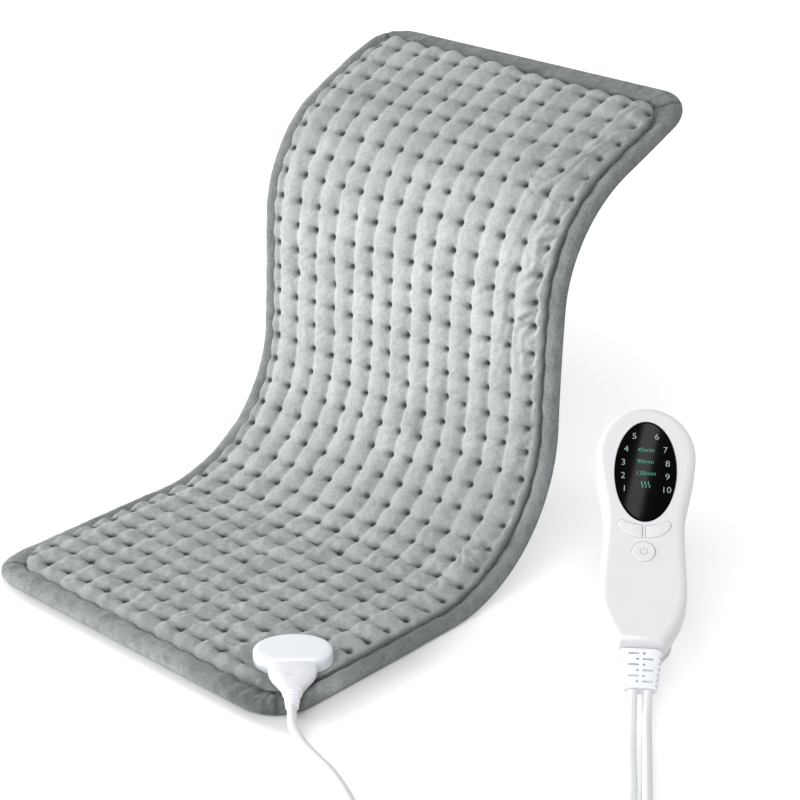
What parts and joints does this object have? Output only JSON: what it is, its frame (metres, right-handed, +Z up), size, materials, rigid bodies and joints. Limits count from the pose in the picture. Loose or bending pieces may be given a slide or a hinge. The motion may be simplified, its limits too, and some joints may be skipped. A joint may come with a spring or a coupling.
{
  "type": "heating pad with controller",
  "caption": "Quilted plush heating pad with a bound edge, an oval corner socket with a pull-out plug, and a two-lobed hand controller with display, buttons and bundled mains lead.",
  "frame": {"origin": "on the pad's underside, in the middle of the stretch that lies flat", "axes": "+X across the pad to the socket's side, +Y along the pad towards the stretch that rises, +Z up"},
  "size_m": [0.5911, 0.4712, 0.3098],
  "materials": {
    "cover_plush": "short plush pile",
    "binding_tape": "matt woven tape",
    "felt": "needle felt",
    "wire_sheath": "smooth sheath",
    "cutout_body": "satin",
    "socket_plastic": "soft sheen",
    "socket_base_plastic": "satin",
    "contact_brass": "bright",
    "screw_steel": "turned",
    "cord_sheath": "smooth, soft sheen",
    "tie_band": "matt",
    "handset_plastic": "soft sheen",
    "display_pane": "polished",
    "module_body": "satin",
    "board_laminate": "coated",
    "component_case": "satin",
    "mains_plug_plastic": "soft sheen"
  },
  "bodies": {
    "pad": {"front_cover": "cover_plush", "back_cover": "cover_plush", "binding": "binding_tape", "wire_carrier": "felt", "heating_wire": "wire_sheath", "thermal_cutout": "cutout_body", "socket_housing": "socket_plastic", "socket_base": "socket_base_plastic", "socket_pin_1": "contact_brass", "socket_pin_2": "contact_brass", "socket_pin_3": "contact_brass", "mains_plug_blade_1": "contact_brass", "mains_plug_blade_2": "contact_brass", "socket_screw_1": "screw_steel", "socket_screw_2": "screw_steel", "handset_screw_1": "screw_steel", "handset_screw_2": "screw_steel", "handset_screw_3": "screw_steel", "pad_lead_plug_end": "cord_sheath", "pad_lead_coil": "cord_sheath", "pad_lead_hand_end": "cord_sheath", "mains_lead": "cord_sheath", "mains_lead_hank": "cord_sheath", "mains_lead_tail": "cord_sheath", "mains_plug_relief": "cord_sheath", "coil_tie": "tie_band", "hank_tie": "tie_band", "handset_front_shell": "handset_plastic", "handset_rear_shell": "handset_plastic", "handset_strain_relief": "handset_plastic", "display_window": "display_pane", "display_module": "module_body", "switch_1": "module_body", "switch_2": "module_body", "switch_3": "module_body", "power_switch_chip": "module_body", "cord_clamp": "module_body", "main_board": "board_laminate", "film_capacitor": "component_case", "fuse": "component_case", "mains_plug_body": "mains_plug_plastic"},
    "plug": {"plug_body": "socket_plastic", "plug_contact_1": "contact_brass", "plug_contact_2": "contact_brass", "plug_contact_3": "contact_brass", "plug_strain_relief": "cord_sheath"},
    "power": {"power_button": "handset_plastic"},
    "lower": {"lower_button": "handset_plastic"},
    "raise": {"raise_button": "handset_plastic"}
  },
  "joints": [
    {"name": "plug_pull", "type": "slide", "parent": "pad", "child": "plug", "axis": [0.7071, -0.7071, 0], "range_m": [0, 0.014], "deforming": ["pad_lead_plug_end"]},
    {"name": "power_press", "type": "slide", "parent": "pad", "child": "power", "axis": [-0.3223, 0.4206, -0.848], "range_m": [0, 0.0006], "stiffness_N_per_m": 800},
    {"name": "lower_press", "type": "slide", "parent": "pad", "child": "lower", "axis": [-0.3223, 0.4206, -0.848], "range_m": [0, 0.0006], "stiffness_N_per_m": 800},
    {"name": "raise_press", "type": "slide", "parent": "pad", "child": "raise", "axis": [-0.3223, 0.4206, -0.848], "range_m": [0, 0.0006], "stiffness_N_per_m": 800}
  ]
}
